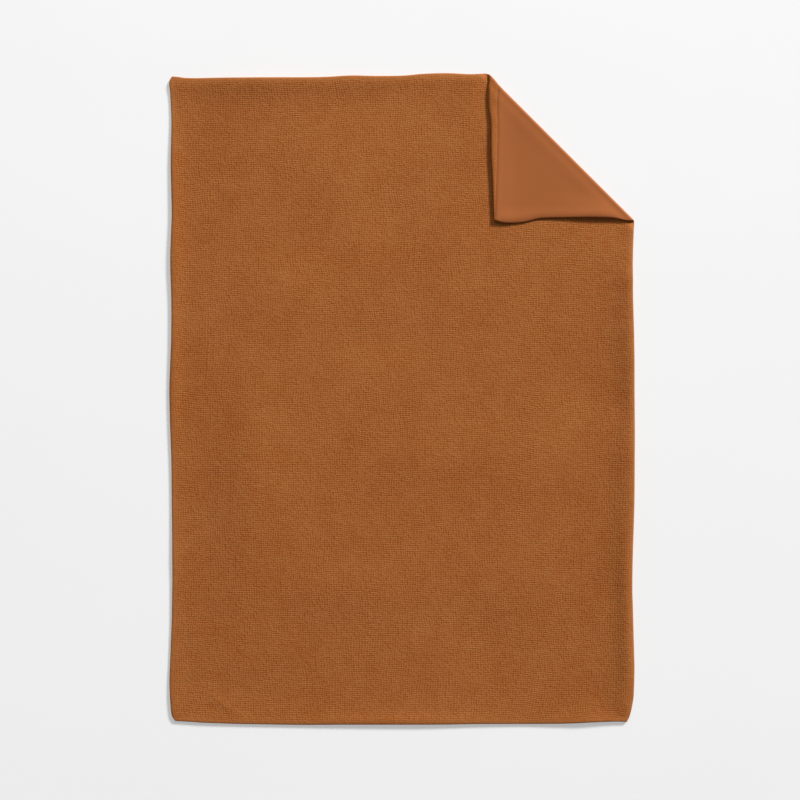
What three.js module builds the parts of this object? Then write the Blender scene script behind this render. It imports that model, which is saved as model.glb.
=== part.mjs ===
// An empty duvet cover lying flat, with its top right corner turned over to show the plain back.
// Two panels are cut and sewn: a thick textured front and a thin plain back. Each is a closed
// sheet. The front goes round the head edge onto the back, where the seam runs.
// Millimetres. +X is to the right, +Y to the head edge, +Z up, and the floor is Z = 0.

import * as THREE from 'three';

// Size of the cover laid flat, and the thickness of its two fabrics
const WIDTH = 1500;
const LENGTH = 2100;
const FRONT_THICK = 2.2;
const BACK_THICK = 1.0;

// Sewn edge: height of the seam above the floor, half the gap left at it, and how far in the
// rounded edge reaches
const SEAM_HEIGHT = 2.6;
const HALF_GAP = 0.33;
const EDGE_REACH = 3.5;

// Height of the two fabrics together: laid flat, what the middle puffs up, and at the crease
const FLAT_HEIGHT = 5.5;
const MIDDLE_PUFF = 4.5;
const CREASE_HEIGHT = 2 * SEAM_HEIGHT;

// How far in from the left edge the middle's puff starts and is full. From the foot edge it is
// twice as far. The turned corner keeps a share of the puff and leaves as much below it.
const PUFF_STARTS = 40;
const PUFF_FULL = 280;
const CORNER_PUFF = 0.3;

// Turned corner: the crease is the line x + y = CREASE_SUM, rolled about an axis ROLL_HEIGHT up.
// At the head edge, where x - y is TIP_AT, it stands out by TIP_OUT. Past the roll the corner
// settles onto the cloth below, FLAP_CLEAR above it. That cloth is pressed down from PRESS_X and
// PRESS_Y on, and along the crease. The corner droops at its two edges, but not at its tip.
const CREASE_SUM = 1331.5;
const TIP_AT = -780;
const TIP_OUT = 3.6;
const TIP_OVER = 80;
const ROLL_HEIGHT = 7.5;
const ROLL_START = CREASE_SUM / Math.SQRT2 - ROLL_HEIGHT;
const ROLL_LENGTH = Math.PI * (ROLL_HEIGHT - BACK_THICK / 2);
const FLAP_CLEAR = 1.3;
const SETTLE_OVER = 60;
const SWAP_OVER = 24;
const CREASE_OVER = 20;
const FLAP_OVER = 40;
const CREASE_PRESS = 160;
const PRESS_X = 270;
const PRESS_Y = 570;
const PRESS_OVER = 60;
const LIFT_OVER = 95;
const HEAD_DROOP = 1.6;
const HEAD_DROOP_OVER = 16;
const SIDE_DROOP = 2.8;
const SIDE_DROOP_OVER = 26;
const TIP_STIFF = 25;

// Grid of each sheet: steps round an edge, along the front's rim and round the roll, the lines
// near an edge, in mm of cloth from it, their shares between the seam and the last of those, the
// lines short of the roll and where the cloth is pressed down, and the pitch elsewhere
const ROUND_STEPS = 4;
const RIM_STEPS = 3;
const ROLL_STEPS = 10;
const EDGE_LINES = [9, 16, 30, 55, 100];
const SEAM_SHARES = [0.65, 0.3];
const CREASE_LINES = [10, 20, 60, 110, 160];
const PRESS_SHARES = [0, 0.5, 1];
const COLUMN_PITCH = 105;
const ROW_PITCH = 95;

// Outline of the cover opened flat. For each edge, from its start to its end: where the row is
// along the edge, how far in the cloth lies there, how much the edge swells up, half the swell's
// width, how far in it is highest, and how far the turned corner's edge lifts off the cloth.
const LEFT = [
  { at: -1050, inset: 14.4, swell: 1, wide: 18, ridge: 9, lift: 0 },
  { at: -1040, inset: 6.4, swell: 1.5, wide: 20, ridge: 9, lift: 0 },
  { at: -1030, inset: 1.9, swell: 1.5, wide: 21, ridge: 9, lift: 0 },
  { at: -1005, inset: -1.1, swell: 2.5, wide: 25, ridge: 9, lift: 0 },
  { at: -960, inset: -4.1, swell: 3, wide: 28, ridge: 9, lift: 0 },
  { at: -915, inset: -5.1, swell: 2, wide: 22, ridge: 9, lift: 0 },
  { at: -850, inset: -2.6, swell: 1, wide: 19, ridge: 9, lift: 0 },
  { at: -720, inset: 2.4, swell: 1, wide: 20, ridge: 9, lift: 0 },
  { at: -669, inset: 3.4, swell: 1.5, wide: 20, ridge: 9, lift: 0 },
  { at: -590, inset: 4.4, swell: 2, wide: 22, ridge: 9, lift: 0 },
  { at: -507, inset: 3.9, swell: 3, wide: 24, ridge: 9, lift: 0 },
  { at: -460, inset: 3.9, swell: 2.5, wide: 24, ridge: 9, lift: 0 },
  { at: -330, inset: 2.4, swell: 1.5, wide: 24, ridge: 9, lift: 0 },
  { at: -200, inset: 0.9, swell: 2, wide: 24, ridge: 9, lift: 0 },
  { at: -70, inset: -3.6, swell: 3, wide: 18, ridge: 9, lift: 0 },
  { at: -21, inset: -4.6, swell: 3.5, wide: 18, ridge: 9, lift: 0 },
  { at: 30, inset: -5.6, swell: 3.5, wide: 18, ridge: 9, lift: 0 },
  { at: 141, inset: -1.6, swell: 4, wide: 18, ridge: 9, lift: 0 },
  { at: 190, inset: 0.4, swell: 4, wide: 19, ridge: 9, lift: 0 },
  { at: 320, inset: 0.9, swell: 4, wide: 23, ridge: 9, lift: 0 },
  { at: 450, inset: -2.6, swell: 5.5, wide: 27, ridge: 9, lift: 0 },
  { at: 545, inset: 0.4, swell: 5, wide: 23, ridge: 9, lift: 0 },
  { at: 600, inset: 2.4, swell: 4.5, wide: 22, ridge: 9, lift: 0 },
  { at: 675, inset: 0.9, swell: 4, wide: 20, ridge: 9, lift: 0 },
  { at: 770, inset: -1.1, swell: 3.5, wide: 20, ridge: 9, lift: 0 },
  { at: 900, inset: 1.4, swell: 1.5, wide: 18, ridge: 9, lift: 0 },
  { at: 955, inset: -0.6, swell: 0.5, wide: 18, ridge: 9, lift: 0 },
  { at: 1000, inset: -3.1, swell: 1, wide: 18, ridge: 9, lift: 0 },
  { at: 1025, inset: -6.1, swell: 1, wide: 18, ridge: 9, lift: 0 },
  { at: 1038, inset: -3.6, swell: 1, wide: 18, ridge: 9, lift: 0 },
  { at: 1050, inset: 3.4, swell: 1, wide: 18, ridge: 9, lift: 0 },
];
const RIGHT = [
  { at: -1050, inset: 23, swell: 2, wide: 30, ridge: 18, lift: 0 },
  { at: -1034, inset: 15, swell: 2, wide: 30, ridge: 21, lift: 0 },
  { at: -1012, inset: 8.5, swell: 2.5, wide: 30, ridge: 26, lift: 0 },
  { at: -990, inset: 4, swell: 3, wide: 31, ridge: 28, lift: 0 },
  { at: -965, inset: 0.5, swell: 3.5, wide: 32, ridge: 31, lift: 0 },
  { at: -880, inset: -2, swell: 7, wide: 33, ridge: 23, lift: 0 },
  { at: -831, inset: -1, swell: 8.5, wide: 33, ridge: 20, lift: 0 },
  { at: -780, inset: 0.5, swell: 8, wide: 33, ridge: 22, lift: 0 },
  { at: -669, inset: 3.5, swell: 7.5, wide: 32, ridge: 25, lift: 0 },
  { at: -620, inset: 5, swell: 8, wide: 34, ridge: 25, lift: 0 },
  { at: -520, inset: 4, swell: 9.5, wide: 39, ridge: 26, lift: 0 },
  { at: -330, inset: -1.5, swell: 9.5, wide: 50, ridge: 17, lift: 0 },
  { at: -183, inset: -2.5, swell: 10, wide: 50, ridge: 16, lift: 0 },
  { at: -135, inset: -3, swell: 9, wide: 45, ridge: 15, lift: 0 },
  { at: -80, inset: -3, swell: 8, wide: 40, ridge: 13, lift: 0 },
  { at: -21, inset: -2.5, swell: 7, wide: 32, ridge: 11, lift: 0 },
  { at: 60, inset: -2, swell: 7.5, wide: 36, ridge: 12, lift: 0 },
  { at: 120, inset: -2, swell: 8, wide: 40, ridge: 13, lift: 0 },
  { at: 220, inset: -0.5, swell: 8.5, wide: 42, ridge: 15, lift: 0 },
  { at: 287, inset: 1.5, swell: 8.5, wide: 42, ridge: 16, lift: 0 },
  { at: 350, inset: 3, swell: 8, wide: 42, ridge: 16, lift: 0 },
  { at: 400, inset: 3, swell: 8, wide: 42, ridge: 16, lift: 0 },
  { at: 450, inset: 3.5, swell: 6, wide: 40, ridge: 15, lift: 0 },
  { at: 575, inset: -1, swell: 3, wide: 34, ridge: 12, lift: 0 },
  { at: 611, inset: -7, swell: 1, wide: 28, ridge: 12, lift: 3.5 },
  { at: 660, inset: 1.5, swell: 0.8, wide: 28, ridge: 12, lift: 5 },
  { at: 725, inset: 3.5, swell: 0.5, wide: 28, ridge: 12, lift: 5 },
  { at: 820, inset: 3, swell: 0, wide: 28, ridge: 12, lift: 2 },
  { at: 902, inset: 0.5, swell: 0, wide: 28, ridge: 12, lift: 0 },
  { at: 960, inset: -12, swell: 0, wide: 28, ridge: 12, lift: 0 },
  { at: 1015, inset: -14, swell: 0, wide: 28, ridge: 12, lift: 0 },
  { at: 1050, inset: -6, swell: 0, wide: 28, ridge: 12, lift: 1 },
];
const FOOT = [
  { at: -750, inset: 9, swell: 1, wide: 18, ridge: 8, lift: 0 },
  { at: -705, inset: 6.5, swell: 1.5, wide: 18, ridge: 8, lift: 0 },
  { at: -660, inset: 3.5, swell: 1.5, wide: 18, ridge: 8, lift: 0 },
  { at: -560, inset: 0, swell: 1.5, wide: 18, ridge: 8, lift: 0 },
  { at: -507, inset: -1, swell: 1.5, wide: 18, ridge: 8, lift: 0 },
  { at: -330, inset: -3.5, swell: 2, wide: 18, ridge: 8, lift: 0 },
  { at: -200, inset: -3, swell: 3.5, wide: 20, ridge: 8, lift: 0 },
  { at: -135, inset: -3, swell: 4, wide: 20, ridge: 8, lift: 0 },
  { at: 0, inset: -3, swell: 4.5, wide: 21, ridge: 8, lift: 0 },
  { at: 60, inset: -3, swell: 4.5, wide: 22, ridge: 8, lift: 0 },
  { at: 157, inset: -2.5, swell: 3.5, wide: 21, ridge: 8, lift: 0 },
  { at: 250, inset: -1, swell: 2.5, wide: 20, ridge: 8, lift: 0 },
  { at: 400, inset: -0.5, swell: 1.5, wide: 20, ridge: 8, lift: 0 },
  { at: 525, inset: 0, swell: 3.5, wide: 25, ridge: 8, lift: 0 },
  { at: 578, inset: 1.5, swell: 5, wide: 28, ridge: 8, lift: 0 },
  { at: 640, inset: 4.5, swell: 4, wide: 23, ridge: 8, lift: 0 },
  { at: 715, inset: 7, swell: 2.5, wide: 18, ridge: 8, lift: 0 },
  { at: 750, inset: 6, swell: 2, wide: 18, ridge: 8, lift: 0 },
];
const HEAD = [
  { at: -750, inset: 1.8, swell: 2, wide: 34, ridge: 24, lift: 0 },
  { at: -730, inset: 3.3, swell: 2, wide: 35, ridge: 26, lift: 0 },
  { at: -710, inset: 6.3, swell: 2.5, wide: 37, ridge: 28, lift: 0 },
  { at: -670, inset: 7.3, swell: 3, wide: 40, ridge: 32, lift: 0 },
  { at: -610, inset: 6.3, swell: 5.5, wide: 46, ridge: 24, lift: 0 },
  { at: -560, inset: 5.8, swell: 7.5, wide: 51, ridge: 19, lift: 0 },
  { at: -410, inset: 5.3, swell: 10, wide: 60, ridge: 15, lift: 0 },
  { at: -330, inset: 5.3, swell: 9, wide: 55, ridge: 15, lift: 0 },
  { at: -250, inset: 3.8, swell: 7.5, wide: 50, ridge: 16, lift: 0 },
  { at: -170, inset: -0.7, swell: 7.5, wide: 47, ridge: 15, lift: 0 },
  { at: -90, inset: 0.8, swell: 7, wide: 44, ridge: 14, lift: 0 },
  { at: 0, inset: -0.7, swell: 4.5, wide: 36, ridge: 14, lift: 0 },
  { at: 60, inset: -6.2, swell: 3, wide: 30, ridge: 15, lift: 0 },
  { at: 140, inset: -8.7, swell: 3.5, wide: 28, ridge: 14, lift: 0 },
  { at: 215, inset: -5.2, swell: 5, wide: 36, ridge: 13, lift: 0 },
  { at: 255, inset: -7.2, swell: 3, wide: 38, ridge: 12, lift: 0 },
  { at: 285, inset: -8.5, swell: 1, wide: 34, ridge: 12, lift: 0 },
  { at: 325, inset: -12, swell: 0.5, wide: 29, ridge: 12, lift: 1.5 },
  { at: 385, inset: -8.5, swell: 0, wide: 28, ridge: 12, lift: 0.8 },
  { at: 430, inset: -2.5, swell: 0, wide: 28, ridge: 12, lift: 2 },
  { at: 530, inset: -1, swell: 0, wide: 28, ridge: 12, lift: 3.2 },
  { at: 610, inset: 3.5, swell: 0, wide: 28, ridge: 12, lift: 3.6 },
  { at: 690, inset: 7, swell: 0, wide: 28, ridge: 12, lift: 3.6 },
  { at: 750, inset: 9.5, swell: 0, wide: 28, ridge: 12, lift: 3.8 },
];

// How far the front reaches onto the back from the head edge, from the left end to the right
const RIM = [
  { at: -750, width: 5 },
  { at: -690, width: 14 },
  { at: -600, width: 26 },
  { at: 200, width: 30 },
  { at: 300, width: 35 },
  { at: 360, width: 31 },
  { at: 420, width: 25 },
  { at: 530, width: 21 },
  { at: 690, width: 8.5 },
  { at: 750, width: 4 },
];

// Soft mounds and hollows of the front: middle, half widths across and along, turn in degrees,
// and height
const MOUNDS = [
  { x: -491, y: -264, across: 110, along: 270, turn: 0, height: 4.5 },
  { x: -394, y: 352, across: 120, along: 110, turn: 0, height: 3 },
  { x: -260, y: 760, across: 150, along: 190, turn: -25, height: 4.2 },
  { x: -53, y: 190, across: 190, along: 70, turn: 0, height: -2.4 },
  { x: 578, y: 76, across: 110, along: 170, turn: 0, height: -2.4 },
  { x: 44, y: -190, across: 110, along: 80, turn: 0, height: 2.4 },
  { x: 238, y: -151, across: 100, along: 80, turn: 0, height: 2.2 },
  { x: 440, y: -230, across: 240, along: 110, turn: 30, height: 2.7 },
  { x: -167, y: -620, across: 200, along: 75, turn: 0, height: 2.7 },
  { x: 254, y: -766, across: 130, along: 110, turn: 0, height: -2.8 },
  { x: -491, y: -951, across: 160, along: 70, turn: 0, height: -1.5 },
  { x: -53, y: 611, across: 80, along: 110, turn: 0, height: -1.7 },
  { x: 125, y: 384, across: 80, along: 100, turn: 0, height: 1.8 },
  { x: 190, y: 520, across: 90, along: 90, turn: 0, height: 1.6 },
  { x: 235, y: 1005, across: 70, along: 60, turn: 0, height: 2.2 },
];

function smooth(from, to, value) {
  const f = THREE.MathUtils.clamp((value - from) / (to - from), 0, 1);
  return f * f * (3 - 2 * f);
}

// One column of a table at a place between its rows, on a smooth curve through them
function along(rows, at, column) {
  const last = rows.length - 1;
  let k = 0;
  while (k < last - 1 && rows[k + 1].at < at) {
    k += 1;
  }
  const slope = (i) => {
    const before = rows[Math.max(i - 1, 0)];
    const after = rows[Math.min(i + 1, last)];
    return (after[column] - before[column]) / (after.at - before.at);
  };
  const span = rows[k + 1].at - rows[k].at;
  const f = THREE.MathUtils.clamp((at - rows[k].at) / span, 0, 1);
  const rise = rows[k + 1][column] - rows[k][column];
  const bend = (slope(k) * span - rise) * (1 - f) - (slope(k + 1) * span - rise) * f;
  return rows[k][column] + rise * f + bend * f * (1 - f);
}

// Where a point of the even rectangle lies on the cover opened flat
function spread(u, v) {
  const f = u / WIDTH + 0.5;
  const g = v / LENGTH + 0.5;
  return {
    x: u + along(LEFT, v, 'inset') * (1 - f) - along(RIGHT, v, 'inset') * f,
    y: v + along(FOOT, u, 'inset') * (1 - g) - along(HEAD, u, 'inset') * g,
  };
}

// Height of an edge's swell, so far in from the edge
function swelling(rows, at, inward) {
  const off = (inward - along(rows, at, 'ridge')) / along(rows, at, 'wide');
  return along(rows, at, 'swell') / (1 + off * off);
}

// How far the turned corner lies off the cloth below, so far in from its edge
function lifting(rows, at, inward) {
  return along(rows, at, 'lift') * (1 - smooth(0, LIFT_OVER, inward));
}

// How far the turned corner droops at a point by its two edges
function drooping(x, y) {
  const head = LENGTH / 2 - y - along(HEAD, x, 'inset');
  const side = WIDTH / 2 - x - along(RIGHT, y, 'inset');
  const headShare = THREE.MathUtils.clamp(1 - head / HEAD_DROOP_OVER, 0, 1);
  const sideShare = THREE.MathUtils.clamp(1 - side / SIDE_DROOP_OVER, 0, 1);
  return Math.max(
    HEAD_DROOP * headShare ** 3 * smooth(0, TIP_STIFF, side),
    SIDE_DROOP * sideShare ** 3 * smooth(0, TIP_STIFF, head),
  );
}

// The most that an edge adds at a point
function fromEdges(x, y, adds) {
  return Math.max(
    adds(LEFT, y, WIDTH / 2 + x),
    adds(RIGHT, y, WIDTH / 2 - x),
    adds(FOOT, x, LENGTH / 2 + y),
    adds(HEAD, x, LENGTH / 2 - y),
  );
}

// How far out the roll starts, at a place along the crease
function rollStart(across) {
  const off = Math.abs(across - TIP_AT / Math.SQRT2);
  return ROLL_START + TIP_OUT * (1 - smooth(0, TIP_OVER, off));
}

// Where a point of the cover opened flat lies against the roll: the angle it is turned through,
// and how far it is short of the roll or beyond it
function againstRoll(x, y) {
  const past = (x + y) / Math.SQRT2 - rollStart((x - y) / Math.SQRT2);
  return {
    angle: Math.PI * THREE.MathUtils.clamp(past / ROLL_LENGTH, 0, 1),
    short: Math.max(-past, 0),
    beyond: Math.max(past - ROLL_LENGTH, 0),
  };
}

// Height of the two fabrics together at a point of the cover opened flat
function heightAt(x, y) {
  const inward = Math.min(WIDTH / 2 + x, LENGTH / 4 + y / 2);
  let puff = MIDDLE_PUFF * smooth(PUFF_STARTS, PUFF_FULL, inward);
  for (const mound of MOUNDS) {
    const turn = THREE.MathUtils.degToRad(mound.turn);
    const dx = x - mound.x;
    const dy = y - mound.y;
    const across = (dx * Math.cos(turn) + dy * Math.sin(turn)) / mound.across;
    const up = (dy * Math.cos(turn) - dx * Math.sin(turn)) / mound.along;
    puff += mound.height * Math.exp(-across * across - up * up);
  }
  const { short, beyond } = againstRoll(x, y);
  const under = smooth(0, PRESS_OVER, Math.min(x - PRESS_X, y - PRESS_Y));
  const pressed = Math.max(under, 1 - smooth(CREASE_OVER, CREASE_PRESS, short));
  puff *= short > 0 ? THREE.MathUtils.lerp(1, CORNER_PUFF, pressed) : CORNER_PUFF;
  const droop = short > 0 ? 0 : drooping(x, y);
  const free = FLAT_HEIGHT + puff + fromEdges(x, y, swelling) - droop;
  const over = short > 0 ? CREASE_OVER : FLAP_OVER;
  return THREE.MathUtils.lerp(CREASE_HEIGHT, free, smooth(0, over, short + beyond));
}

// How far a point of a sheet lies above the seam, before the corner is turned over. Under the
// turned corner the two panels change places, so there the back is the one that bulges.
function aboveSeam(flat, depth, face) {
  const { x, y, riseX, riseY } = flat;
  const side = riseY < 0 ? -face : face;
  const swap = smooth(0, SWAP_OVER, againstRoll(x, y).beyond);
  const bulge = heightAt(x, y) - SEAM_HEIGHT;
  const [from, to] = side > 0 ? [bulge, SEAM_HEIGHT] : [SEAM_HEIGHT, bulge];
  const reach = THREE.MathUtils.lerp(from, to, swap) - HALF_GAP - depth;
  const gap = riseY < 0 ? (1 + 2 * riseY) * HALF_GAP : face * HALF_GAP;
  return side * reach * riseX * Math.abs(riseY) + gap;
}

// How far the turned corner moves up or down from the level of the roll's top
function settled(under, flat, beyond) {
  const seam = heightAt(under.x, under.y) + FLAP_CLEAR + SEAM_HEIGHT;
  const lift = fromEdges(flat.x, flat.y, lifting);
  return (seam - 2 * ROLL_HEIGHT + SEAM_HEIGHT + lift) * smooth(0, SETTLE_OVER, beyond);
}

// A point of a sheet, at a depth in from its outer face. face is 1 on the front and -1 on the
// back. lean and rise say how the cloth stands there: lean 0 and rise 1 is level, and a rise
// below 0 is on the other side of the cover.
function pointOn(flat, depth, face) {
  const { angle, short, beyond } = againstRoll(flat.x, flat.y);
  const radius = ROLL_HEIGHT - SEAM_HEIGHT - aboveSeam(flat, depth, face);
  const inOut = depth * (flat.leanX + flat.leanY) / Math.SQRT2;
  const inAcross = depth * (flat.leanX - flat.leanY) / Math.SQRT2;
  const place = (flat.x - flat.y) / Math.SQRT2;
  const start = rollStart(place);
  const out = start - short - beyond + radius * Math.sin(angle) - inOut * Math.cos(angle);
  const across = place - inAcross;
  const point = new THREE.Vector3((out + across) / Math.SQRT2, (out - across) / Math.SQRT2, 0);
  point.z = ROLL_HEIGHT - radius * Math.cos(angle) - inOut * Math.sin(angle);
  if (beyond > 0) {
    point.z += settled(point, flat, beyond);
  }
  return point;
}

// A grid line at a distance from an edge, measured along the cloth. side is 1 at the far edge.
function edgeLine(half, side, distance) {
  const round = Math.min(distance / EDGE_REACH, Math.PI / 2);
  const run = Math.max(distance - EDGE_REACH * Math.PI / 2, 0);
  const inward = EDGE_REACH * (1 - Math.cos(round)) + run;
  return { at: side * (half - inward), lean: side * Math.cos(round), rise: Math.sin(round) };
}

// Grid lines from one edge to the other, close together at both and where the cloth is pressed
function gridLines(half, pitch, press) {
  const near = [];
  for (let step = 0; step <= ROUND_STEPS; step += 1) {
    near.push((step / ROUND_STEPS) * EDGE_REACH * Math.PI / 2);
  }
  near.push(...EDGE_LINES);
  const first = near.map((distance) => edgeLine(half, -1, distance));
  const last = near.map((distance) => edgeLine(half, 1, distance)).reverse();
  const from = first[first.length - 1].at;
  const count = Math.round(-2 * from / pitch);
  const places = PRESS_SHARES.map((share) => press + PRESS_OVER * share);
  for (let step = 1; step < count; step += 1) {
    const at = from * (1 - 2 * step / count);
    if (Math.abs(at - press - PRESS_OVER / 2) > PRESS_OVER) {
      places.push(at);
    }
  }
  const middle = places.sort((a, b) => a - b).map((at) => ({ at, lean: 0, rise: 1 }));
  return [...first, ...middle, ...last];
}

// Length of cloth from the head edge to the seam, round the edge and along the back
function rimLength(u) {
  const width = along(RIM, u, 'width');
  if (width < EDGE_REACH) {
    return EDGE_REACH * Math.acos(1 - width / EDGE_REACH);
  }
  return width + EDGE_REACH * (Math.PI / 2 - 1);
}

function underLine(distance) {
  const line = edgeLine(LENGTH / 2, 1, distance);
  return { ...line, rise: -line.rise };
}

// The front's rows run from the foot edge over the head edge and on to the seam
function frontRows(u) {
  const rows = gridLines(LENGTH / 2, ROW_PITCH, PRESS_Y);
  for (let step = 1; step <= RIM_STEPS; step += 1) {
    rows.push(underLine(rimLength(u) * step / RIM_STEPS));
  }
  return rows;
}

// The back's rows run from the foot edge to the seam and stop a gap short of it
function backRows(u) {
  const rows = gridLines(LENGTH / 2, ROW_PITCH, PRESS_Y);
  const kept = rows.slice(0, rows.length - ROUND_STEPS - EDGE_LINES.length);
  const seam = rimLength(u) + 2 * HALF_GAP;
  const clear = EDGE_LINES[EDGE_LINES.length - 1];
  for (const share of SEAM_SHARES) {
    kept.push(edgeLine(LENGTH / 2, 1, THREE.MathUtils.lerp(seam, clear, share)));
  }
  kept.push(edgeLine(LENGTH / 2, 1, seam));
  return kept;
}

function mixed(a, b, f) {
  const result = {};
  for (const key of Object.keys(a)) {
    result[key] = THREE.MathUtils.lerp(a[key], b[key], f);
  }
  return result;
}

// Cuts a patch of the flat cover along a line beside the crease, and returns its two parts
function parted(patch, level) {
  const inner = [];
  const outer = [];
  const past = (flat) => (flat.x + flat.y) / Math.SQRT2 - level;
  patch.forEach((here, i) => {
    const next = patch[(i + 1) % patch.length];
    if (past(here) <= 0) {
      inner.push(here);
    }
    if (past(here) >= 0) {
      outer.push(here);
    }
    if (past(here) * past(next) < 0) {
      const cut = mixed(here, next, past(here) / (past(here) - past(next)));
      inner.push(cut);
      outer.push(cut);
    }
  });
  return [inner, outer];
}

// Lines along the crease, close together round the roll
function creaseLevels() {
  const end = ROLL_START + ROLL_LENGTH;
  const levels = CREASE_LINES.map((distance) => ROLL_START - distance).reverse();
  for (let step = 0; step <= ROLL_STEPS; step += 1) {
    levels.push(ROLL_START + ROLL_LENGTH * step / ROLL_STEPS);
  }
  levels.push(end + SWAP_OVER / 2, end + SWAP_OVER, end + FLAP_OVER, end + SETTLE_OVER);
  return levels;
}

// All patches of a sheet, opened flat, cut along the crease
function patchesOf(rowsAt) {
  const grid = gridLines(WIDTH / 2, COLUMN_PITCH, PRESS_X).map((column) => (
    rowsAt(column.at).map((row) => ({
      ...spread(column.at, row.at),
      leanX: column.lean,
      leanY: row.lean,
      riseX: column.rise,
      riseY: row.rise,
    }))
  ));
  const patches = [];
  for (let i = 0; i + 1 < grid.length; i += 1) {
    for (let j = 0; j + 1 < grid[i].length; j += 1) {
      let rest = [grid[i][j], grid[i + 1][j], grid[i + 1][j + 1], grid[i][j + 1]];
      for (const level of creaseLevels()) {
        const [inner, outer] = parted(rest, level);
        patches.push(inner);
        rest = outer;
      }
      patches.push(rest);
    }
  }
  return patches.filter((patch) => patch.length > 2);
}

// Splits a patch into triangles. Four corners are split on the shorter diagonal.
function trianglesOf(corners, spots) {
  const apart = (a, b) => Math.hypot(spots[a].x - spots[b].x, spots[a].y - spots[b].y);
  const shorter = corners.length === 4
    && apart(corners[1], corners[3]) < apart(corners[0], corners[2]);
  const turned = shorter ? [...corners.slice(1), corners[0]] : corners;
  const triangles = [];
  for (let i = 1; i + 1 < turned.length; i += 1) {
    triangles.push([turned[0], turned[i], turned[i + 1]]);
  }
  return triangles.filter(([a, b, c]) => a !== b && b !== c && c !== a);
}

// A closed sheet of cloth: an outer face, an inner face and the cut edge all round
function sheetGeometry(rowsAt, thick, face) {
  const spots = [];
  const numbers = new Map();
  const numberOf = (flat) => {
    const key = [flat.x, flat.y, Math.sign(flat.riseY)].map((value) => value.toFixed(3)).join();
    if (!numbers.has(key)) {
      numbers.set(key, spots.length);
      spots.push(flat);
    }
    return numbers.get(key);
  };
  const outside = [];
  for (const patch of patchesOf(rowsAt)) {
    const corners = patch.map(numberOf);
    outside.push(...trianglesOf(face > 0 ? corners : corners.reverse(), spots));
  }
  const shift = spots.length;
  const inside = outside.map(([a, b, c]) => [a + shift, c + shift, b + shift]);
  const sides = new Map();
  for (const [a, b, c] of outside) {
    for (const [from, to] of [[a, b], [b, c], [c, a]]) {
      if (!sides.delete(`${to} ${from}`)) {
        sides.set(`${from} ${to}`, [from, to]);
      }
    }
  }
  const rim = [];
  for (const [from, to] of sides.values()) {
    rim.push([to, from, from + shift], [to, from + shift, to + shift]);
  }
  const points = [0, thick].flatMap((depth) => spots.map((flat) => pointOn(flat, depth, face)));
  const geometry = new THREE.BufferGeometry().setFromPoints(points);
  geometry.setIndex([...outside, ...inside, ...rim].flat());
  geometry.computeVertexNormals();
  return geometry;
}

function panel(name, geometry, color) {
  const material = new THREE.MeshStandardMaterial({ color, roughness: 0.95, metalness: 0 });
  const mesh = new THREE.Mesh(geometry, material);
  mesh.name = name;
  return mesh;
}

const cover = new THREE.Group();
cover.add(panel('front_panel', sheetGeometry(frontRows, FRONT_THICK, 1), 0x9a5d2f));
cover.add(panel('back_panel', sheetGeometry(backRows, BACK_THICK, -1), 0xa36237));

// The origin lies on the floor below the middle of the cover
const middle = new THREE.Box3().setFromObject(cover, true).getCenter(new THREE.Vector3());
cover.position.set(-middle.x, -middle.y, 0);

export default cover;
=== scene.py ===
import math

import bmesh
import bpy
import numpy as np
from mathutils import Matrix, Vector


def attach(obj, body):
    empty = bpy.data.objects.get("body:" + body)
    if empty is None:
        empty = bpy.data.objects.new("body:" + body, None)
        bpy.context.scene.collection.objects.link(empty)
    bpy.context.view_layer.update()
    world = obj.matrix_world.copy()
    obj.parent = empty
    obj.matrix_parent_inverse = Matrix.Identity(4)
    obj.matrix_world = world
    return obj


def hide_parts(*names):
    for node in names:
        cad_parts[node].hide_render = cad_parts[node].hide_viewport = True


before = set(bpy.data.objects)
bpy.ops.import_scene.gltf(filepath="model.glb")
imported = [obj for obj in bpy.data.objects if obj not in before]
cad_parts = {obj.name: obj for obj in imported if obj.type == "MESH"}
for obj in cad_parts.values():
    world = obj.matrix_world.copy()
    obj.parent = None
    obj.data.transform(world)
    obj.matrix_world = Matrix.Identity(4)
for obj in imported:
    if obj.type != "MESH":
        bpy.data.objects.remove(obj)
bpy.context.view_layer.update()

# An empty duvet cover lying flat, with its top right corner turned over to show the plain back.
# The front is thick pebble-weave cotton, the back thin plain cotton. Sizes here are in
# millimetres and become metres where a sheet is made. +Y is towards the head edge.
MM = 0.001
WIDTH = 1500
LENGTH = 2100
FRONT_THICK = 2.2
BACK_THICK = 1.0

# Sewn edge: height of the seam above the floor, half the gap left at it, how far in the rounded
# edge reaches, and how deep and how wide the seam is drawn in
SEAM_HEIGHT = 2.6
HALF_GAP = 0.33
EDGE_REACH = 3.5
SEAM_DIP = 1.1
SEAM_DIP_WIDE = 4

# Height of the two fabrics together, flat, puffed up in the middle and pinched in the crease, and
# how far in from the left edge the puff starts and is full. From the foot edge it is twice as
# far. The turned corner keeps a share of the puff and leaves as much below it.
FLAT_HEIGHT = 5.5
MIDDLE_PUFF = 4.5
CREASE_HEIGHT = 2 * SEAM_HEIGHT
PUFF_STARTS = 40
PUFF_FULL = 280
CORNER_PUFF = 0.3

# Turned corner: the crease is the line x + y = CREASE_SUM, rolled about an axis ROLL_HEIGHT up.
# At the head edge, where x - y is TIP_AT, it stands out by TIP_OUT, and less within TIP_OVER.
CREASE_SUM = 1331.5
TIP_AT = -780
TIP_OUT = 3.6
TIP_OVER = 80
ROLL_HEIGHT = 7.5
ROLL_START = CREASE_SUM / math.sqrt(2) - ROLL_HEIGHT
ROLL_LENGTH = math.pi * (ROLL_HEIGHT - BACK_THICK / 2)

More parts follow.
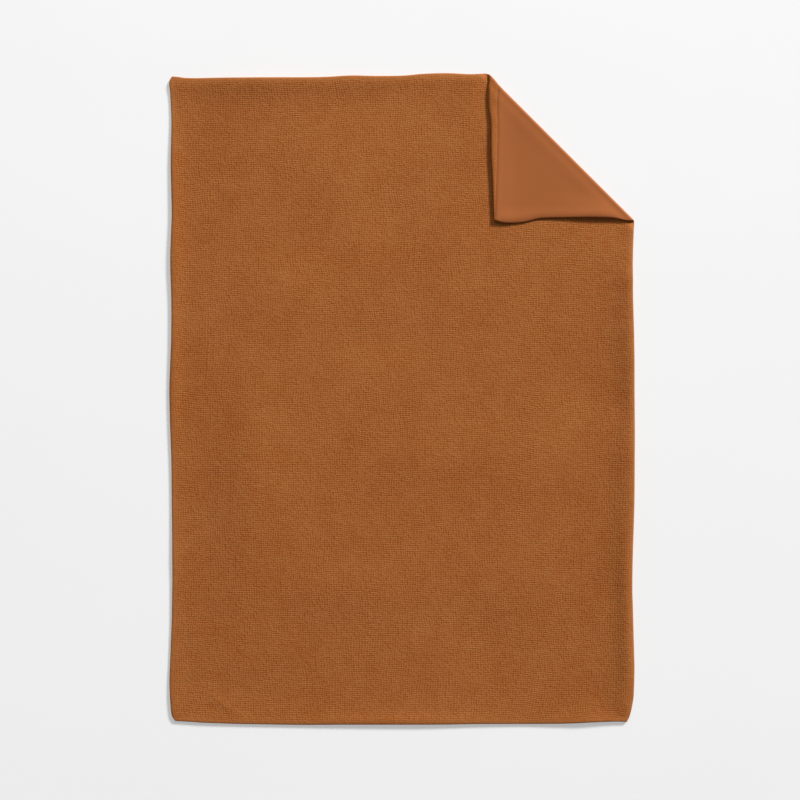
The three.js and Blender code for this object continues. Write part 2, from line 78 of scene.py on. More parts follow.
# Beyond the roll the corner settles to FLAP_CLEAR above the cloth below, and its bulge passes
# from the front to the back. Before the roll the cover reaches its full height over CREASE_OVER,
# and beyond it the corner does over FLAP_OVER.
FLAP_CLEAR = 1.3
SETTLE_OVER = 60
SWAP_OVER = 24
CREASE_OVER = 20
FLAP_OVER = 40

# The cover is pressed down along the crease, as far as CREASE_PRESS from it, and below the
# corner, beyond PRESS_X and PRESS_Y, fully from PRESS_OVER further in
CREASE_PRESS = 160
PRESS_X = 270
PRESS_Y = 570
PRESS_OVER = 60

# How far in from its edges the corner lifts, and how much its head edge and its side edge droop
# and over what width. They droop less within TIP_STIFF of its tip.
LIFT_OVER = 95
HEAD_DROOP = 1.6
HEAD_DROOP_OVER = 16
SIDE_DROOP = 2.8
SIDE_DROOP_OVER = 26
TIP_STIFF = 25

# Lines of the sheets' grids: steps round an edge, along the rim and round the roll, the pitch
# near an edge and elsewhere, and the length over which the back's rows draw together at its seam
ROUND_STEPS = 5
RIM_STEPS = 6
ROLL_STEPS = 12
NEAR_PITCH = 5
NEAR_EDGE = 66
FAR_PITCH = 10
BACK_BLEND = 100

# Lines before and beyond the roll, in shares of CREASE_OVER and of SWAP_OVER, and how near a
# point is to count as on a line. Edges sharper than SHARP_ANGLE stay sharp.
BEFORE_ROLL = np.array([1, 0.6, 0.3, 0.12])
BEYOND_ROLL = np.array([0.15, 0.3, 0.6, 1])
ON_LINE = 0.01
SHARP_ANGLE = 50

# Cloth from edge to edge, over both rounded edges
ACROSS = WIDTH + EDGE_REACH * (math.pi - 2)
ALONG = LENGTH + EDGE_REACH * (math.pi - 2)

# Pebble weave: one pebble across and along, how far its ridges lie off the pebbles' middles, in
# pebbles, and how high it stands. It is worn flat up to WORN from an edge and whole from WHOLE.
# The band of front beyond the head edge gets painted shade as far as STRIP_TURN past it, over
# STRIP_BLEND.
PEBBLE_ACROSS = 8.07
PEBBLE_ALONG = 6.7
RIDGE_OFF = 0.15
PEBBLE_RELIEF = 0.65
WORN = 9
WHOLE = 24
STRIP_TURN = 10
STRIP_BLEND = 12

# Plain weave: threads per metre across and along, and how high it stands
THREADS_ACROSS = 900
THREADS_ALONG = 1000
PLAIN_RELIEF = 0.12


def table(columns, *rows):
    """Rows of sizes under named columns"""
    return dict(zip(columns.split(), np.array(rows, float).T))


# Outline of the cover opened flat: where the row is along the edge, how far in the cloth lies
# there, how much the edge swells up, half the swell's width, how far in it is highest, and how
# far the turned corner's edge lifts off the cloth
LEFT = table(
    "at inset swell wide ridge lift",
    (-1050, 14.4, 1, 18, 9, 0),
    (-1040, 6.4, 1.5, 20, 9, 0),
    (-1030, 1.9, 1.5, 21, 9, 0),
    (-1005, -1.1, 2.5, 25, 9, 0),
    (-960, -4.1, 3, 28, 9, 0),
    (-915, -5.1, 2, 22, 9, 0),
    (-850, -2.6, 1, 19, 9, 0),
    (-720, 2.4, 1, 20, 9, 0),
    (-669, 3.4, 1.5, 20, 9, 0),
    (-590, 4.4, 2, 22, 9, 0),
    (-507, 3.9, 3, 24, 9, 0),
    (-460, 3.9, 2.5, 24, 9, 0),
    (-330, 2.4, 1.5, 24, 9, 0),
    (-200, 0.9, 2, 24, 9, 0),
    (-70, -3.6, 3, 18, 9, 0),
    (-21, -4.6, 3.5, 18, 9, 0),
    (30, -5.6, 3.5, 18, 9, 0),
    (141, -1.6, 4, 18, 9, 0),
    (190, 0.4, 4, 19, 9, 0),
    (320, 0.9, 4, 23, 9, 0),
    (450, -2.6, 5.5, 27, 9, 0),
    (545, 0.4, 5, 23, 9, 0),
    (600, 2.4, 4.5, 22, 9, 0),
    (675, 0.9, 4, 20, 9, 0),
    (770, -1.1, 3.5, 20, 9, 0),
    (900, 1.4, 1.5, 18, 9, 0),
    (955, -0.6, 0.5, 18, 9, 0),
    (1000, -3.1, 1, 18, 9, 0),
    (1025, -6.1, 1, 18, 9, 0),
    (1038, -3.6, 1, 18, 9, 0),
    (1050, 3.4, 1, 18, 9, 0),
)
RIGHT = table(
    "at inset swell wide ridge lift",
    (-1050, 23, 2, 30, 18, 0),
    (-1034, 15, 2, 30, 21, 0),
    (-1012, 8.5, 2.5, 30, 26, 0),
    (-990, 4, 3, 31, 28, 0),
    (-965, 0.5, 3.5, 32, 31, 0),
    (-880, -2, 7, 33, 23, 0),
    (-831, -1, 8.5, 33, 20, 0),
    (-780, 0.5, 8, 33, 22, 0),
    (-669, 3.5, 7.5, 32, 25, 0),
    (-620, 5, 8, 34, 25, 0),
    (-520, 4, 9.5, 39, 26, 0),
    (-330, -1.5, 9.5, 50, 17, 0),
    (-183, -2.5, 10, 50, 16, 0),
    (-135, -3, 9, 45, 15, 0),
    (-80, -3, 8, 40, 13, 0),
    (-21, -2.5, 7, 32, 11, 0),
    (60, -2, 7.5, 36, 12, 0),
    (120, -2, 8, 40, 13, 0),
    (220, -0.5, 8.5, 42, 15, 0),
    (287, 1.5, 8.5, 42, 16, 0),
    (350, 3, 8, 42, 16, 0),
    (400, 3, 8, 42, 16, 0),
    (450, 3.5, 6, 40, 15, 0),
    (575, -1, 3, 34, 12, 0),
    (611, -7, 1, 28, 12, 3.5),
    (660, 1.5, 0.8, 28, 12, 5),
    (725, 3.5, 0.5, 28, 12, 5),
    (820, 3, 0, 28, 12, 2),
    (902, 0.5, 0, 28, 12, 0),
    (960, -12, 0, 28, 12, 0),
    (1015, -14, 0, 28, 12, 0),
    (1050, -6, 0, 28, 12, 1),
)
FOOT = table(
    "at inset swell wide ridge lift",
    (-750, 9, 1, 18, 8, 0),
    (-705, 6.5, 1.5, 18, 8, 0),
    (-660, 3.5, 1.5, 18, 8, 0),
    (-560, 0, 1.5, 18, 8, 0),
    (-507, -1, 1.5, 18, 8, 0),
    (-330, -3.5, 2, 18, 8, 0),
    (-200, -3, 3.5, 20, 8, 0),
    (-135, -3, 4, 20, 8, 0),
    (0, -3, 4.5, 21, 8, 0),
    (60, -3, 4.5, 22, 8, 0),
    (157, -2.5, 3.5, 21, 8, 0),
    (250, -1, 2.5, 20, 8, 0),
    (400, -0.5, 1.5, 20, 8, 0),
    (525, 0, 3.5, 25, 8, 0),
    (578, 1.5, 5, 28, 8, 0),
    (640, 4.5, 4, 23, 8, 0),
    (715, 7, 2.5, 18, 8, 0),
    (750, 6, 2, 18, 8, 0),
)
HEAD = table(
    "at inset swell wide ridge lift",
    (-750, 1.8, 2, 34, 24, 0),
    (-730, 3.3, 2, 35, 26, 0),
    (-710, 6.3, 2.5, 37, 28, 0),
    (-670, 7.3, 3, 40, 32, 0),
    (-610, 6.3, 5.5, 46, 24, 0),
    (-560, 5.8, 7.5, 51, 19, 0),
    (-410, 5.3, 10, 60, 15, 0),
    (-330, 5.3, 9, 55, 15, 0),
    (-250, 3.8, 7.5, 50, 16, 0),
    (-170, -0.7, 7.5, 47, 15, 0),
    (-90, 0.8, 7, 44, 14, 0),
    (0, -0.7, 4.5, 36, 14, 0),
    (60, -6.2, 3, 30, 15, 0),
    (140, -8.7, 3.5, 28, 14, 0),
    (215, -5.2, 5, 36, 13, 0),
    (255, -7.2, 3, 38, 12, 0),
    (285, -8.5, 1, 34, 12, 0),
    (325, -12, 0.5, 29, 12, 1.5),
    (385, -8.5, 0, 28, 12, 0.8),
    (430, -2.5, 0, 28, 12, 2),
    (530, -1, 0, 28, 12, 3.2),
    (610, 3.5, 0, 28, 12, 3.6),
    (690, 7, 0, 28, 12, 3.6),
    (750, 9.5, 0, 28, 12, 3.8),
)

# How far the front reaches onto the back from the head edge, from the left end to the right
RIM = table(
    "at width",
    (-750, 5),
    (-690, 14),
    (-600, 26),
    (200, 30),
    (300, 35),
    (360, 31),
    (420, 25),
    (530, 21),
    (690, 8.5),
    (750, 4),
)

# Soft mounds and hollows of the front, its small ridges and its puckers: middle, half widths
# across and along, turn in degrees, and height
MOUNDS = table(
    "x y across along turn height",
    (-491, -264, 110, 270, 0, 4.5),
    (-394, 352, 120, 110, 0, 3),
    (-260, 760, 150, 190, -25, 4.2),
    (-53, 190, 190, 70, 0, -2.4),
    (578, 76, 110, 170, 0, -2.4),
    (44, -190, 110, 80, 0, 2.4),
    (238, -151, 100, 80, 0, 2.2),
    (440, -230, 240, 110, 30, 2.7),
    (-167, -620, 200, 75, 0, 2.7),
    (254, -766, 130, 110, 0, -2.8),
    (-491, -951, 160, 70, 0, -1.5),
    (-53, 611, 80, 110, 0, -1.7),
    (125, 384, 80, 100, 0, 1.8),
    (190, 520, 90, 90, 0, 1.6),
    (235, 1005, 70, 60, 0, 2.2),
    (-581, 685, 75, 20, -36, 0.8),
    (-583, -985, 55, 14, -36, 1.2),
    (235, 990, 14, 50, -45, 1.2),
    (-680, -745, 22, 40, 0, 1),
    (698, 222, 25, 50, -45, 1),
    (605, -990, 20, 45, 0, 0.8),
    (470, -1000, 24, 34, 10, 0.7),
    (-80, -1004, 30, 30, 0, 0.5),
    (-250, 1010, 34, 30, 0, 0.6),
)


def smooth(low, high, value):
    """A soft step: 0 up to low, 1 from high"""
    f = np.clip((value - low) / (high - low), 0, 1)
    return f * f * (3 - 2 * f)


def mixed(a, b, f):
    """a where f is 0, b where f is 1"""
    return a + (b - a) * f


def along(rows, at, column):
    """One column of a table at places between its rows, on a smooth curve through them"""
    place, value = rows["at"], rows[column]
    last = len(place) - 1
    k = np.clip(np.searchsorted(place, at) - 1, 0, last - 1)
    after = np.minimum(np.arange(last + 1) + 1, last)
    before = np.maximum(np.arange(last + 1) - 1, 0)
    slope = (value[after] - value[before]) / (place[after] - place[before])
    span = place[k + 1] - place[k]
    f = np.clip((at - place[k]) / span, 0, 1)
    rise = value[k + 1] - value[k]
    bend = (slope[k] * span - rise) * (1 - f) - (slope[k + 1] * span - rise) * f
    return value[k] + rise * f + bend * f * (1 - f)


def opened(u, v):
    """Where a point of the even rectangle lies on the cover opened flat"""
    f, g = u / WIDTH + 0.5, v / LENGTH + 0.5
    x = u + along(LEFT, v, "inset") * (1 - f) - along(RIGHT, v, "inset") * f
    y = v + along(FOOT, u, "inset") * (1 - g) - along(HEAD, u, "inset") * g
    return x, y


def swelling(rows, at, inward):
    """Height of an edge's swell, so far in from the edge"""
    off = (inward - along(rows, at, "ridge")) / along(rows, at, "wide")
    return along(rows, at, "swell") / (1 + off * off)


def lifting(rows, at, inward):
    """How far the turned corner lies off the cloth below, so far in from its edge"""
    return along(rows, at, "lift") * (1 - smooth(0, LIFT_OVER, inward))


def drooping(x, y):
    """How far the turned corner droops at its two edges"""
    head = LENGTH / 2 - y - along(HEAD, x, "inset")
    side = WIDTH / 2 - x - along(RIGHT, y, "inset")
    head_droop = HEAD_DROOP * np.clip(1 - head / HEAD_DROOP_OVER, 0, 1) ** 3
    side_droop = SIDE_DROOP * np.clip(1 - side / SIDE_DROOP_OVER, 0, 1) ** 3
    off_side, off_head = smooth(0, TIP_STIFF, side), smooth(0, TIP_STIFF, head)
    return np.maximum(head_droop * off_side, side_droop * off_head)


def from_edges(x, y, adds):
    """The most that an edge adds at a point"""
    edges = (
        (LEFT, y, WIDTH / 2 + x),
        (RIGHT, y, WIDTH / 2 - x),
        (FOOT, x, LENGTH / 2 + y),
        (HEAD, x, LENGTH / 2 - y),
    )
    return np.maximum.reduce([adds(rows, at, inward) for rows, at, inward in edges])


def roll_start(across):
    """How far out the roll starts, at a place along the crease"""
    return ROLL_START + TIP_OUT * (1 - smooth(0, TIP_OVER, np.abs(across - TIP_AT / math.sqrt(2))))


def against_roll(x, y):
    """The angle a point of the opened cover is turned through, and how far it is short of the
    roll or beyond it"""
    past = (x + y) / math.sqrt(2) - roll_start((x - y) / math.sqrt(2))
    angle = math.pi * np.clip(past / ROLL_LENGTH, 0, 1)
    return angle, np.maximum(-past, 0), np.maximum(past - ROLL_LENGTH, 0)


def height_at(x, y):
    """Height of the two fabrics together at a point of the opened cover"""
    inward = np.minimum(WIDTH / 2 + x, LENGTH / 4 + y / 2)
    puff = MIDDLE_PUFF * smooth(PUFF_STARTS, PUFF_FULL, inward)
    for k, turn in enumerate(np.radians(MOUNDS["turn"])):
        dx, dy = x - MOUNDS["x"][k], y - MOUNDS["y"][k]
        across = (dx * math.cos(turn) + dy * math.sin(turn)) / MOUNDS["across"][k]
        up = (dy * math.cos(turn) - dx * math.sin(turn)) / MOUNDS["along"][k]
        puff = puff + MOUNDS["height"][k] * np.exp(-across * across - up * up)
    _, short, beyond = against_roll(x, y)
    below_corner = smooth(0, PRESS_OVER, np.minimum(x - PRESS_X, y - PRESS_Y))
    by_crease = 1 - smooth(CREASE_OVER, CREASE_PRESS, short)
    pressed = 1 - (1 - CORNER_PUFF) * np.maximum(below_corner, by_crease)
    puff = puff * np.where(short > 0, pressed, CORNER_PUFF)
    free = FLAT_HEIGHT + puff + from_edges(x, y, swelling) - np.where(short > 0, 0, drooping(x, y))
    over = np.where(short > 0, CREASE_OVER, FLAP_OVER)
    return mixed(CREASE_HEIGHT, free, smooth(0, over, short + beyond))


def rounded(half, from_edge):
    """How far out a line of cloth lies, how it leans out and how level it is, from how much
    cloth lies between it and the edge"""
    angle = np.minimum(from_edge / EDGE_REACH, math.pi / 2)
    run = np.maximum(from_edge - EDGE_REACH * math.pi / 2, 0)
    return half - EDGE_REACH * (1 - np.cos(angle)) - run, np.cos(angle), np.sin(angle)


def rim_length(u):
    """Cloth from the head edge to the seam, round the edge and along the back"""
    width = along(RIM, u, "width")
    narrow = EDGE_REACH * np.arccos(np.clip(1 - width / EDGE_REACH, -1, 1))
    return np.where(width < EDGE_REACH, narrow, width + EDGE_REACH * (math.pi / 2 - 1))


def placed(s, t, depth, face):
    """Points of a sheet from its cloth: s across it, t along it, 0 in the middle of the cover.
    face is 1 on the front and -1 on the back. depth is in from the outer face."""
    out_x, lean_x, rise_x = rounded(WIDTH / 2, ACROSS / 2 - np.abs(s))
    u, lean_x = np.sign(s) * out_x, np.sign(s) * lean_x
    under = t > ALONG / 2
    out_y, lean_y, rise_y = rounded(LENGTH / 2, np.abs(ALONG / 2 - np.abs(t)))
    v, lean_y = np.sign(t) * out_y, np.sign(t) * lean_y
    x, y = opened(u, v)
    angle, short, beyond = against_roll(x, y)

    # The side of the cover that bulges, and how far the sheet lies from the seam's level
    side = np.where(under, -face, face)
    swap = smooth(0, SWAP_OVER, beyond)
    bulge = height_at(x, y) - SEAM_HEIGHT
    reach = np.where(side > 0, mixed(bulge, SEAM_HEIGHT, swap), mixed(SEAM_HEIGHT, bulge, swap))
    seam_at = ALONG / 2 + face * rim_length(u) - (0 if face > 0 else 2 * HALF_GAP)
    dip = SEAM_DIP * np.exp(-(((seam_at - t) / SEAM_DIP_WIDE) ** 2))
    gap = np.where(under, (1 - 2 * rise_y) * HALF_GAP, face * HALF_GAP)
    above = side * (reach - HALF_GAP - depth - dip) * rise_x * rise_y + gap

    radius = ROLL_HEIGHT - SEAM_HEIGHT - above
    in_out = depth * (lean_x + lean_y) / math.sqrt(2)
    in_across = depth * (lean_x - lean_y) / math.sqrt(2)
    across = (x - y) / math.sqrt(2)
    out = roll_start(across) - short - beyond + radius * np.sin(angle) - in_out * np.cos(angle)
    across = across - in_across
    px, py = (out + across) / math.sqrt(2), (out - across) / math.sqrt(2)
    pz = ROLL_HEIGHT - radius * np.cos(angle) - in_out * np.sin(angle)

    # Beyond the roll the corner settles onto the cloth below
    seam = height_at(px, py) + FLAP_CLEAR + SEAM_HEIGHT
    lift = from_edges(x, y, lifting)
    settled = (seam - 2 * ROLL_HEIGHT + SEAM_HEIGHT + lift) * smooth(0, SETTLE_OVER, beyond)
    return np.stack([px, py, pz + settled], 1)


def cloth_lines(span):
    """Grid lines from one edge to the other, close together at both"""
    bend = EDGE_REACH * math.pi / 2
    round_part = np.linspace(0, bend, ROUND_STEPS + 1)
    near = np.linspace(bend, NEAR_EDGE, round((NEAR_EDGE - bend) / NEAR_PITCH) + 1)
    far = np.linspace(NEAR_EDGE, span / 2, round((span / 2 - NEAR_EDGE) / FAR_PITCH) + 1)
    half = np.concatenate([round_part, near[1:], far[1:]]) - span / 2
    return np.concatenate([half, -half[-2::-1]])


def crease_levels():
    """Lines along the crease, close together round the roll"""
    before = ROLL_START - BEFORE_ROLL * CREASE_OVER
    turn = ROLL_START + ROLL_LENGTH * np.linspace(0, 1, ROLL_STEPS + 1)
    beyond = ROLL_START + ROLL_LENGTH + BEYOND_ROLL * SWAP_OVER
    return np.concatenate([before, turn, beyond])


def front_row(rows, row, u):
    """Rows of the front run over the head edge and on to the seam"""
    inner = rows[np.minimum(row, len(rows) - 1)]
    return inner + rim_length(u) * np.maximum(row - len(rows) + 1, 0) / RIM_STEPS


def back_row(rows, row, u):
    """Rows of the back draw together to end at the seam"""
    t = rows[row]
    start = ALONG / 2 - BACK_BLEND
    seam = ALONG / 2 - rim_length(u) - 2 * HALF_GAP
    kept = rows[rows <= start][-1]
    return np.where(t > start, mixed(kept, seam, (t - kept) / (ALONG / 2 - kept)), t)


def lay_flat(bm, extra_rows, row_at):
    """Lays a sheet's grid on the cover opened flat. Each point keeps its place in the cloth, s
    across it and t along it."""
    columns, rows = cloth_lines(ACROSS), cloth_lines(ALONG)
    steps = np.array([len(columns) - 1, len(rows) - 1 + extra_rows])
    bmesh.ops.create_grid(bm, x_segments=int(steps[0]), y_segments=int(steps[1]), size=1)
    s_of = bm.verts.layers.float.new("s")
    t_of = bm.verts.layers.float.new("t")
    grid = np.array([v.co for v in bm.verts])[:, :2]
    number = np.rint((grid + 1) / 2 * steps).astype(int)
    s = columns[number[:, 0]]
    u = np.sign(s) * rounded(WIDTH / 2, ACROSS / 2 - np.abs(s))[0]
    t = row_at(rows, number[:, 1], u)
    v = np.sign(t) * rounded(LENGTH / 2, np.abs(ALONG / 2 - np.abs(t)))[0]
    for vert, vert_s, vert_t, x, y in zip(bm.verts, s, t, *opened(u, v)):
        vert[s_of], vert[t_of], vert.co = vert_s, vert_t, (x, y, 0)


def cut_along_crease(bm):
    """Cuts the grid's faces along the lines beside the crease"""
    normal = Vector((1, 1, 0)).normalized()
    for level in crease_levels():
        geometry = bm.verts[:] + bm.edges[:] + bm.faces[:]
        bmesh.ops.bisect_plane(
            bm, geom=geometry, dist=ON_LINE, plane_co=normal * level, plane_no=normal
        )


def put_in_order(bm):
    """Orders edges and faces by their corners, because solidify makes its walls in any order"""
    bm.verts.index_update()
    for parts in (bm.edges, bm.faces):
        ordered = sorted(parts, key=lambda part: sorted(vert.index for vert in part.verts))
        for number, part in enumerate(ordered):
            part.index = number
        parts.sort()


def sheet(name, thick, face, extra_rows, row_at):
    """A closed sheet of cloth, laid and folded as the cover is. It keeps where each point was on
    the flat cloth as the attribute cut, in metres."""
    bm = bmesh.new()
    lay_flat(bm, extra_rows, row_at)
    inner_of = bm.verts.layers.float.new("inner")
    cut_along_crease(bm)
    outer = set(bm.verts)
    bmesh.ops.solidify(bm, geom=bm.faces[:], thickness=thick)
    for vert in bm.verts:
        vert[inner_of] = vert not in outer
    put_in_order(bm)
    mesh = bpy.data.meshes.new(name)
    bm.to_mesh(mesh)
    bm.free()

    s, t, inner = (numbers(mesh, key) for key in ("s", "t", "inner"))
    for key in ("s", "t", "inner"):
        mesh.attributes.remove(mesh.attributes[key])
    points = placed(s, t, inner * thick, face)
    mesh.vertices.foreach_set("co", (points * MM).ravel())
    cut = mesh.attributes.new("cut", "FLOAT_VECTOR", "POINT")
    cut.data.foreach_set("vector", (np.stack([s, t, inner], 1) * MM).ravel())
    mesh.update()
    face_out(mesh)
    return bpy.data.objects.new(name, mesh)


def numbers(mesh, key):
    """A point attribute of a mesh as an array"""
    found = np.zeros(len(mesh.vertices), np.float32)
    mesh.attributes[key].data.foreach_get("value", found)
    return found.astype(float)


def face_out(mesh):
    """Turns the faces outwards, if they point in"""
    bm = bmesh.new()
    bm.from_mesh(mesh)
    if bm.calc_volume(signed=True) < 0:
        bmesh.ops.reverse_faces(bm, faces=bm.faces[:])
    bm.to_mesh(mesh)
    bm.free()
    mesh.polygons.foreach_set("use_smooth", [True] * len(mesh.polygons))
    mesh.set_sharp_from_angle(angle=math.radians(SHARP_ANGLE))


class Wire:
    """The output of a shader node, in sums and products"""

    def __init__(self, finish, socket):
        self.finish = finish
        self.socket = socket

    def __add__(self, other):
        return self.finish.maths("ADD", self, other)

    def __sub__(self, other):
        return self.finish.maths("SUBTRACT", self, other)

    def __rsub__(self, other):
        return self.finish.maths("SUBTRACT", other, self)

    def __mul__(self, other):
        return self.finish.maths("MULTIPLY", self, other)

    def __abs__(self):
        return self.finish.maths("ABSOLUTE", self)

    __radd__ = __add__
    __rmul__ = __mul__


# The noises' place in their fourth direction. At a whole number they would show rays.
NOISE_SLICE = 1.37


class Finish:
    """A material in the making"""

    def __init__(self, name):
        self.material = bpy.data.materials.new(name)
        self.material.use_nodes = True
        self.tree = self.material.node_tree
        self.tree.nodes.clear()

    def node(self, kind, settings=None, inputs=None, out=0):
        """Adds a node, and returns one of its outputs"""
        made = self.tree.nodes.new(kind)
        for key, value in (settings or {}).items():
            setattr(made, key, value)
        for key, value in (inputs or {}).items():
            if isinstance(value, Wire):
                self.tree.links.new(value.socket, made.inputs[key])
            else:
                made.inputs[key].default_value = value
        return Wire(self, made.outputs[out]) if made.outputs else None

    def maths(self, operation, *values):
        """A sum worked out on numbers and outputs"""
        return self.node("ShaderNodeMath", {"operation": operation}, dict(enumerate(values)))

    def parts(self, place):
        """The X and Y of a vector"""
        return [self.node("ShaderNodeSeparateXYZ", None, {0: place}, axis) for axis in (0, 1)]

    def cut(self):
        """Where a point was on the flat cloth"""
        return self.node("ShaderNodeAttribute", {"attribute_name": "cut"}, None, "Vector")

    def noise(self, place, scale, detail=2, rough=0.5):
        """Cloudy noise from -0.5 to 0.5, with scale in bumps per metre"""
        inputs = {
            "Vector": place,
            "W": NOISE_SLICE,
            "Scale": scale,
            "Detail": detail,
            "Roughness": rough,
        }
        return self.node("ShaderNodeTexNoise", {"noise_dimensions": "4D"}, inputs) - 0.5

    def wave(self, turns):
        """From 0 to 1 and back once a turn, 1 where turns is whole"""
        return 0.5 + 0.5 * self.maths("COSINE", turns * (2 * math.pi))

    def edge(self, at, span, start, full):
        """0 up to start in from the edges of a span about 0, 1 from full on, in millimetres"""
        inward = (span / 2 - full) * MM - abs(at)
        ends = {"Value": inward, 1: (start - full) * MM, 2: 0.0, 3: 0.0, 4: 1.0}
        return self.node("ShaderNodeMapRange", {"interpolation_type": "SMOOTHSTEP"}, ends)

    def mix(self, share, low, high):
        """A colour between two"""
        inputs = {0: share, 6: low, 7: high}
        return self.node("ShaderNodeMix", {"data_type": "RGBA"}, inputs, 2)

    def finished(self, colour, roughness, height, sheen, relief):
        """Joins colour, roughness and relief, which is in millimetres, to the shader"""
        bump = {"Height": height, "Distance": relief * MM, "Strength": 1.0}
        inputs = {
            "Base Color": colour,
            "Roughness": roughness,
            "Normal": self.node("ShaderNodeBump", None, bump),
            "Sheen Weight": sheen,
            "Sheen Roughness": 0.5,
            "Specular IOR Level": 0.25,
        }
        shader = self.node("ShaderNodeBsdfPrincipled", None, inputs)
        self.node("ShaderNodeOutputMaterial", None, {"Surface": shader})
        return self.material


def rgb(red, green, blue):
    """An opaque colour"""
    return (red, green, blue, 1.0)


# Colours of the hollows and of the tops, and the pale floor's painted glow, which lifts its
# shadows
# The darker colours of the hollows are painted shade, the paler ones of the tops painted light
PEBBLE_DARK = rgb(0.24, 0.0525, 0.001)
PEBBLE_PALE = rgb(0.398, 0.156, 0.0425)
PLAIN_DARK = rgb(0.278, 0.077, 0.0148)
PLAIN_PALE = rgb(0.337, 0.1, 0.0215)
FLOOR_DARK = rgb(0.47, 0.47, 0.47)
FLOOR_PALE = rgb(0.49, 0.49, 0.49)
FLOOR_PAINTED_GLOW = 0.353


def pebble_cotton():
    """Thick cotton in a pebble weave: uneven pebbles in wandering rows and columns that come and
    go, flatter and paler along the edges, with painted shade in the hollows, painted light on the
    tops, and painted shade on the band beyond the head edge"""
    finish = Finish("pebble_cotton")
    place = finish.cut()
    s, t = finish.parts(place)
    sway = finish.noise(place, 16, 1)
    column = s * (1 / (PEBBLE_ACROSS * MM)) + finish.noise(place, 4) * 4 + sway * 1.6
    row = t * (1 / (PEBBLE_ALONG * MM)) + finish.noise(place, 3.3) * 5 - sway * 1.2
    spot = finish.node("ShaderNodeCombineXYZ", None, {"X": column, "Y": row})
    pebbles = {"voronoi_dimensions": "2D", "feature": "F1"}
    cell = {"Vector": spot, "Scale": 1.0, "Randomness": 0.6}
    dome = 1 - finish.node("ShaderNodeTexVoronoi", pebbles, cell, "Distance") * 1.4
    chance = finish.parts(finish.node("ShaderNodeTexVoronoi", pebbles, cell, "Color"))[0]
    rows_show = 0.36 + finish.noise(place, 30, 1) * 1.1
    columns_show = 0.26 + finish.noise(place, 26, 1) * 0.9
    rows = (finish.wave(row - RIDGE_OFF) - 0.5) * rows_show
    columns = (finish.wave(column - RIDGE_OFF) - 0.5) * columns_show
    crumple = finish.noise(place, 70, 3, 0.65)
    whole = finish.edge(s, ACROSS, WORN, WHOLE) * finish.edge(t, ALONG, WORN, WHOLE)
    relief = (dome * (0.35 + chance * 0.5) + rows + columns) * (0.35 + whole * 0.65)
    fibres = finish.noise(place, 500, 1)
    height = relief + crumple * 1.8 + fibres * 0.1
    # Random tone, plus the crumple, which is painted shade in its low parts and painted light on
    # its high ones
    mottle_and_crumple_shade = finish.noise(place, 7) * 0.3 + finish.noise(place, 28, 1) * 0.22 + crumple * 0.22
    # Painted shade on the band of front beyond the head edge, where it turns onto the back
    painted_strip_shade = 1 - finish.edge(t, ALONG + 2 * STRIP_TURN, 0, STRIP_BLEND)
    # The tone rises with the relief and the fibres: painted shade in the hollows, painted light on
    # the tops
    tone = 0.41 + relief * 0.62 + mottle_and_crumple_shade + fibres * 0.1 - whole * 0.22 - painted_strip_shade * 0.15
    colour = finish.mix(tone, PEBBLE_DARK, PEBBLE_PALE)
    roughness = 0.92 - finish.noise(place, 60) * 0.1
    return finish.finished(colour, roughness, height, 0.03, PEBBLE_RELIEF)


def plain_cotton():
    """Thin plain-woven cotton, smooth to the eye"""
    finish = Finish("plain_cotton")
    place = finish.cut()
    s, t = finish.parts(place)
    threads = finish.wave(s * THREADS_ACROSS) + finish.wave(t * THREADS_ALONG)
    slubs = finish.noise(place, 300, 2)
    height = threads * 0.5 + slubs * 0.6
    # The tone follows the threads and slubs: painted shade in their low parts, painted light on
    # their high ones
    tone = 0.5 + finish.noise(place, 6) * 0.5 + slubs * 0.25 + (threads - 1) * 0.1
    colour = finish.mix(tone, PLAIN_DARK, PLAIN_PALE)
    roughness = 0.85 - slubs * 0.15
    return finish.finished(colour, roughness, height, 0.08, PLAIN_RELIEF)


def pale_floor():
    """Matt pale paper with painted light: a little lighter towards the head, and a painted glow
    that keeps the shadows on it soft
    """
    finish = Finish("pale_floor")
    place = finish.node("ShaderNodeTexCoord", None, None, "Object")
    # The tone rising towards the head is painted light
    tone = 0.5 + finish.noise(place, 2) + finish.parts(place)[1] * 0.05
    inputs = {
        "Base Color": finish.mix(tone, FLOOR_DARK, FLOOR_PALE),
        "Roughness": 0.9,
        # A painted glow, which lifts the floor's shadows
        "Emission Color": rgb(1, 1, 1),
        "Emission Strength": FLOOR_PAINTED_GLOW,
    }
    shader = finish.node("ShaderNodeBsdfPrincipled", None, inputs)
    finish.node("ShaderNodeOutputMaterial", None, {"Surface": shader})
    return finish.material


# The two sheets, moved together so that the origin lies below the middle of the cover
front = sheet("front_cloth", FRONT_THICK, 1, RIM_STEPS, front_row)
back = sheet("back_cloth", BACK_THICK, -1, 0, back_row)
corners = np.array([c for piece in (front, back) for c in piece.bound_box])
middle = (corners.min(0) + corners.max(0)) / 2
for piece, cotton, node, slot in (
    (front, pebble_cotton(), "front_panel", "pebble_cotton"),
    (back, plain_cotton(), "back_panel", "plain_cotton"),
):
    bpy.context.scene.collection.objects.link(piece)
    piece.data.transform(Matrix.Translation((-middle[0], -middle[1], 0)))
    piece.data.materials.append(cotton)
    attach(piece, "root")
    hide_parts(node)

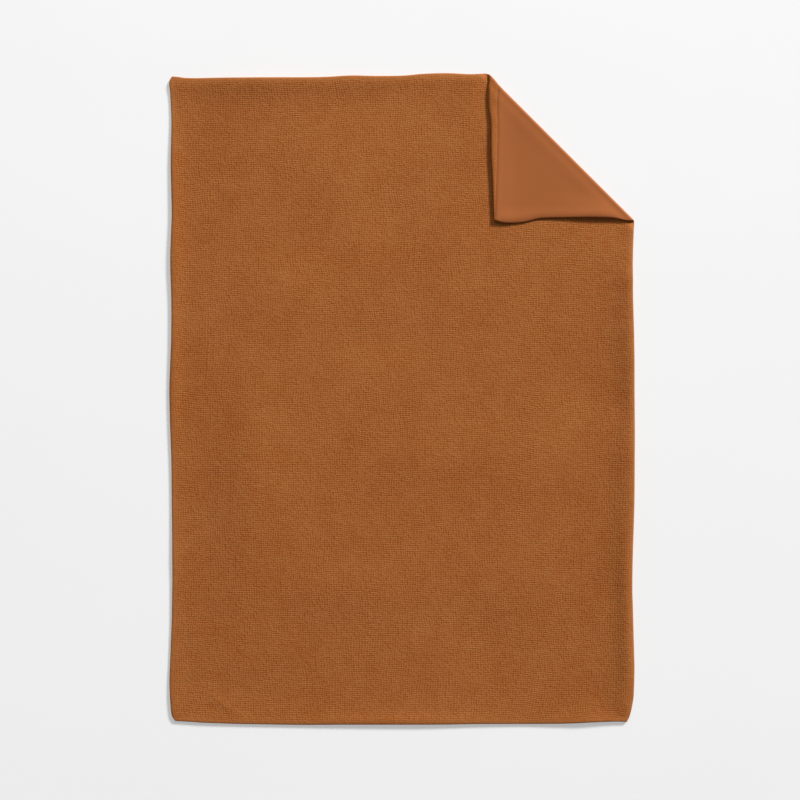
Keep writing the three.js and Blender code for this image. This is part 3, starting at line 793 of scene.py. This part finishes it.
# Floor, a hair below the cover. From here on sizes are in metres.
FLOOR_AT = -0.0003
FLOOR_HALF = 12
bm = bmesh.new()
bmesh.ops.create_grid(bm, x_segments=1, y_segments=1, size=FLOOR_HALF)
floor_mesh = bpy.data.meshes.new("floor")
bm.to_mesh(floor_mesh)
bm.free()
floor = bpy.data.objects.new("floor", floor_mesh)
floor_mesh.transform(Matrix.Translation((0, 0, FLOOR_AT)))
floor_mesh.materials.append(pale_floor())
bpy.context.scene.collection.objects.link(floor)

# Light: a low key from the upper right that rakes the cloth, a window beyond the head edge, and
# pale light all round. The shares are of the light on a level surface.
KEY_HIGH = math.radians(21)
KEY_ROUND = math.radians(50)
KEY_FAR = 75
KEY_SIZE = 12
KEY_SHARE = 0.74
WINDOW_AT = Vector((0.2, 6, 4))
WINDOW_SIZE = 3
WINDOW_SHARE = 0.13
WORLD_SHARE = 0.23


def soft_box(name, place, size, share):
    """A square light that faces the middle of the cover"""
    light = bpy.data.objects.new(name, bpy.data.lights.new(name, "AREA"))
    light.location = place
    light.data.size = size
    light.data.energy = share * math.pi ** 2 * place.length ** 3 / place.z
    light.rotation_euler = (-place).to_track_quat("-Z", "Y").to_euler()
    light.visible_camera = False
    bpy.context.scene.collection.objects.link(light)


level = math.cos(KEY_HIGH)
towards = Vector((level * math.cos(KEY_ROUND), level * math.sin(KEY_ROUND), math.sin(KEY_HIGH)))
soft_box("key", towards * KEY_FAR, KEY_SIZE, KEY_SHARE)
soft_box("window", WINDOW_AT, WINDOW_SIZE, WINDOW_SHARE)

world = bpy.data.worlds.new("world")
world.use_nodes = True
sky = world.node_tree.nodes["Background"].inputs
sky["Color"].default_value = rgb(1, 1, 1)
sky["Strength"].default_value = WORLD_SHARE
bpy.context.scene.world = world
bpy.context.scene.view_settings.view_transform = "Standard"

# Camera straight above, with a long lens: what it sees across at the cloth's level, that level,
# and the middle of what it sees
FRAME_WIDE = 2.592
FRAME_LEVEL = 0.005
FRAME_X = -0.00648
FRAME_Y = -0.00324
LENS = 85
SENSOR = 36
camera = bpy.data.objects.new("camera", bpy.data.cameras.new("camera"))
camera.data.lens = LENS
camera.data.sensor_width = SENSOR
camera.data.clip_end = 100
camera.location = (FRAME_X, FRAME_Y, FRAME_WIDE * LENS / SENSOR + FRAME_LEVEL)
bpy.context.scene.collection.objects.link(camera)
bpy.context.scene.camera = camera
